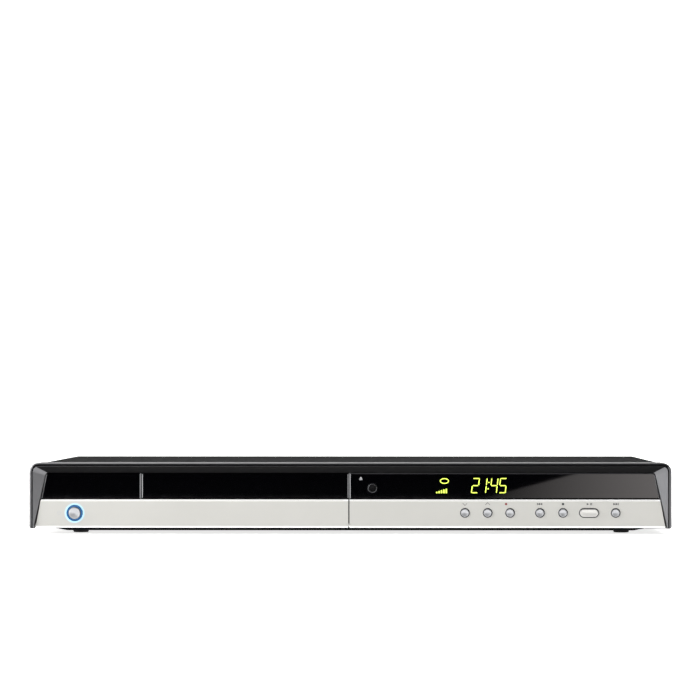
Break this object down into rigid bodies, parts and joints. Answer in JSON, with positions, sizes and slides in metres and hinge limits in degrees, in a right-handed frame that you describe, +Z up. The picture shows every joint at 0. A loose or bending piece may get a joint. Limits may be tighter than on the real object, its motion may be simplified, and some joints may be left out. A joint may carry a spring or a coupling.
{
  "type": "DVD recorder",
  "caption": "Slim full-width disc recorder with a drop-down front flap, a disc tray behind a gloss window, lit clock display, push buttons and rear sockets.",
  "frame": {"origin": "on the table, under the middle of the recorder's bounding box", "axes": "+X to the viewer's right along the width, +Y to the rear, +Z up; the front panel faces -Y"},
  "size_m": [0.43, 0.262, 0.048],
  "materials": {
    "black_bezel": "fine-grained dark moulding, satin",
    "black_plastic": "black moulding",
    "blue_light": "blue light guide",
    "circuit_board": "green solder mask",
    "copper_winding": "steel core round a copper winding with amber tape",
    "display_glass": "display tube, yellow-green digits",
    "painted_steel": "dark grey textured powder coat",
    "rubber": "black, dull",
    "silver_panel": "satin silver lacquer on plastic",
    "smoked_window": "clear-coated near-black, high gloss",
    "spun_metal": "spun faces, bright",
    "white_plastic": "natural white, self-lubricating",
    "zinc_steel": "zinc-plated sheet, bare"
  },
  "bodies": {
    "case": {"av_jack_block": "black_plastic", "av_socket_left": "black_plastic", "av_socket_right": "black_plastic", "bottom_chassis": "zinc_steel", "clamp_bridge": "zinc_steel", "control_panel": "silver_panel", "cover_screw_left_front": "zinc_steel", "cover_screw_left_rear": "zinc_steel", "cover_screw_right_front": "zinc_steel", "cover_screw_right_rear": "zinc_steel", "display_tube": "display_glass", "display_window": "smoked_window", "drive_belt": "rubber", "drive_ribbon": "white_plastic", "fan_housing": "black_plastic", "foot_front_left": "rubber", "foot_front_right": "rubber", "foot_rear_left": "rubber", "foot_rear_right": "rubber", "front_bezel": "black_bezel", "front_board": "circuit_board", "front_jack_board": "circuit_board", "left_window": "smoked_window", "loader_frame": "black_plastic", "loading_motor": "zinc_steel", "main_board": "circuit_board", "power_board": "circuit_board", "power_inlet": "black_plastic", "power_light_ring": "blue_light", "rear_panel": "zinc_steel", "smoothing_capacitor": "black_plastic", "top_cover": "painted_steel", "transformer": "copper_winding", "tuner_module": "zinc_steel"},
    "tray": {"tray_drawer": "black_plastic", "tray_door": "smoked_window"},
    "flap": {"front_flap": "silver_panel"},
    "power_button_body": {"power_button": "spun_metal"},
    "eject_button_body": {"eject_button": "spun_metal"},
    "channel_down_button_body": {"channel_down_button": "spun_metal"},
    "channel_up_button_body": {"channel_up_button": "spun_metal"},
    "record_button_body": {"record_button": "spun_metal"},
    "skip_back_button_body": {"skip_back_button": "spun_metal"},
    "stop_button_body": {"stop_button": "spun_metal"},
    "play_button_body": {"play_button": "spun_metal"},
    "skip_forward_button_body": {"skip_forward_button": "spun_metal"},
    "tray_gear_body": {"tray_gear": "white_plastic"},
    "belt_gear_body": {"belt_gear": "white_plastic"},
    "motor_pulley_body": {"motor_pulley": "white_plastic"},
    "cam": {"cam_slider": "white_plastic"},
    "traverse": {"traverse_frame": "zinc_steel", "spindle_motor": "zinc_steel", "guide_rod_left": "spun_metal", "guide_rod_right": "spun_metal", "feed_motor": "zinc_steel"},
    "turntable_body": {"turntable": "black_plastic"},
    "clamper_body": {"clamper": "white_plastic"},
    "pickup": {"pickup_sled": "black_plastic"},
    "lead_screw_body": {"lead_screw": "spun_metal"},
    "fan": {"fan_rotor": "black_plastic"}
  },
  "joints": [
    {"name": "tray_slide", "type": "slide", "parent": "case", "child": "tray", "axis": [0, -1, 0], "range_m": [0, 0.136]},
    {"name": "flap_hinge", "type": "hinge", "parent": "case", "child": "flap", "pos_m": [-0.0007, -0.1266, 0.0063], "axis": [1, 0, 0], "range_deg": [0, 90]},
    {"name": "power_press", "type": "slide", "parent": "case", "child": "power_button_body", "axis": [0, 1, 0], "range_m": [0, 0.0008], "stiffness_N_per_m": 300},
    {"name": "eject_press", "type": "slide", "parent": "case", "child": "eject_button_body", "axis": [0, 1, 0], "range_m": [0, 0.0008], "stiffness_N_per_m": 300},
    {"name": "channel_down_press", "type": "slide", "parent": "case", "child": "channel_down_button_body", "axis": [0, 1, 0], "range_m": [0, 0.0008], "stiffness_N_per_m": 300},
    {"name": "channel_up_press", "type": "slide", "parent": "case", "child": "channel_up_button_body", "axis": [0, 1, 0], "range_m": [0, 0.0008], "stiffness_N_per_m": 300},
    {"name": "record_press", "type": "slide", "parent": "case", "child": "record_button_body", "axis": [0, 1, 0], "range_m": [0, 0.0008], "stiffness_N_per_m": 300},
    {"name": "skip_back_press", "type": "slide", "parent": "case", "child": "skip_back_button_body", "axis": [0, 1, 0], "range_m": [0, 0.0008], "stiffness_N_per_m": 300},
    {"name": "stop_press", "type": "slide", "parent": "case", "child": "stop_button_body", "axis": [0, 1, 0], "range_m": [0, 0.0008], "stiffness_N_per_m": 300},
    {"name": "play_press", "type": "slide", "parent": "case", "child": "play_button_body", "axis": [0, 1, 0], "range_m": [0, 0.0008], "stiffness_N_per_m": 300},
    {"name": "skip_forward_press", "type": "slide", "parent": "case", "child": "skip_forward_button_body", "axis": [0, 1, 0], "range_m": [0, 0.0008], "stiffness_N_per_m": 300},
    {"name": "tray_gear_spin", "type": "hinge", "parent": "case", "child": "tray_gear_body", "pos_m": [-0.1084, -0.087, 0.0135], "axis": [0, 0, 1], "range_deg": [-1, 780.2]},
    {"name": "belt_gear_spin", "type": "hinge", "parent": "case", "child": "belt_gear_body", "pos_m": [-0.0908, -0.087, 0.0135], "axis": [0, 0, 1], "range_deg": [-2078.9, 1]},
    {"name": "motor_pulley_spin", "type": "hinge", "parent": "case", "child": "motor_pulley_body", "pos_m": [-0.0644, -0.087, 0.0186], "axis": [0, 0, 1], "range_deg": [-5455.6, 1]},
    {"name": "cam_slide", "type": "slide", "parent": "case", "child": "cam", "axis": [1, 0, 0], "range_m": [0, 0.018]},
    {"name": "traverse_lift", "type": "hinge", "parent": "case", "child": "traverse", "pos_m": [-0.0704, 0.021, 0.0135], "axis": [1, 0, 0], "range_deg": [0, 4.01]},
    {"name": "turntable_spin", "type": "hinge", "parent": "traverse", "child": "turntable_body", "pos_m": [-0.0704, -0.055, 0.0335], "axis": [0, 0, 1], "continuous": true},
    {"name": "clamper_spin", "type": "hinge", "parent": "case", "child": "clamper_body", "pos_m": [-0.0704, -0.055, 0.0353], "axis": [0, 0, 1], "continuous": true},
    {"name": "pickup_slide", "type": "slide", "parent": "traverse", "child": "pickup", "axis": [0, 1, 0], "range_m": [0, 0.035]},
    {"name": "lead_screw_spin", "type": "hinge", "parent": "traverse", "child": "lead_screw_body", "pos_m": [-0.0364, -0.045, 0.0195], "axis": [0, 1, 0], "range_deg": [-1, 3151]},
    {"name": "fan_spin", "type": "hinge", "parent": "case", "child": "fan", "pos_m": [-0.11, 0.118, 0.0246], "axis": [0, 1, 0], "continuous": true}
  ],
  "couplings": [
    {"joint": "tray_gear_spin", "follows": "tray_slide", "rad_per_m": 100},
    {"joint": "belt_gear_spin", "follows": "tray_slide", "rad_per_m": -266.67},
    {"joint": "motor_pulley_spin", "follows": "tray_slide", "rad_per_m": -700},
    {"joint": "traverse_lift", "follows": "cam_slide", "rad_per_m": 3.8785},
    {"joint": "clamper_spin", "follows": "turntable_spin", "ratio": 1},
    {"joint": "lead_screw_spin", "follows": "pickup_slide", "rad_per_m": 1570.8}
  ]
}
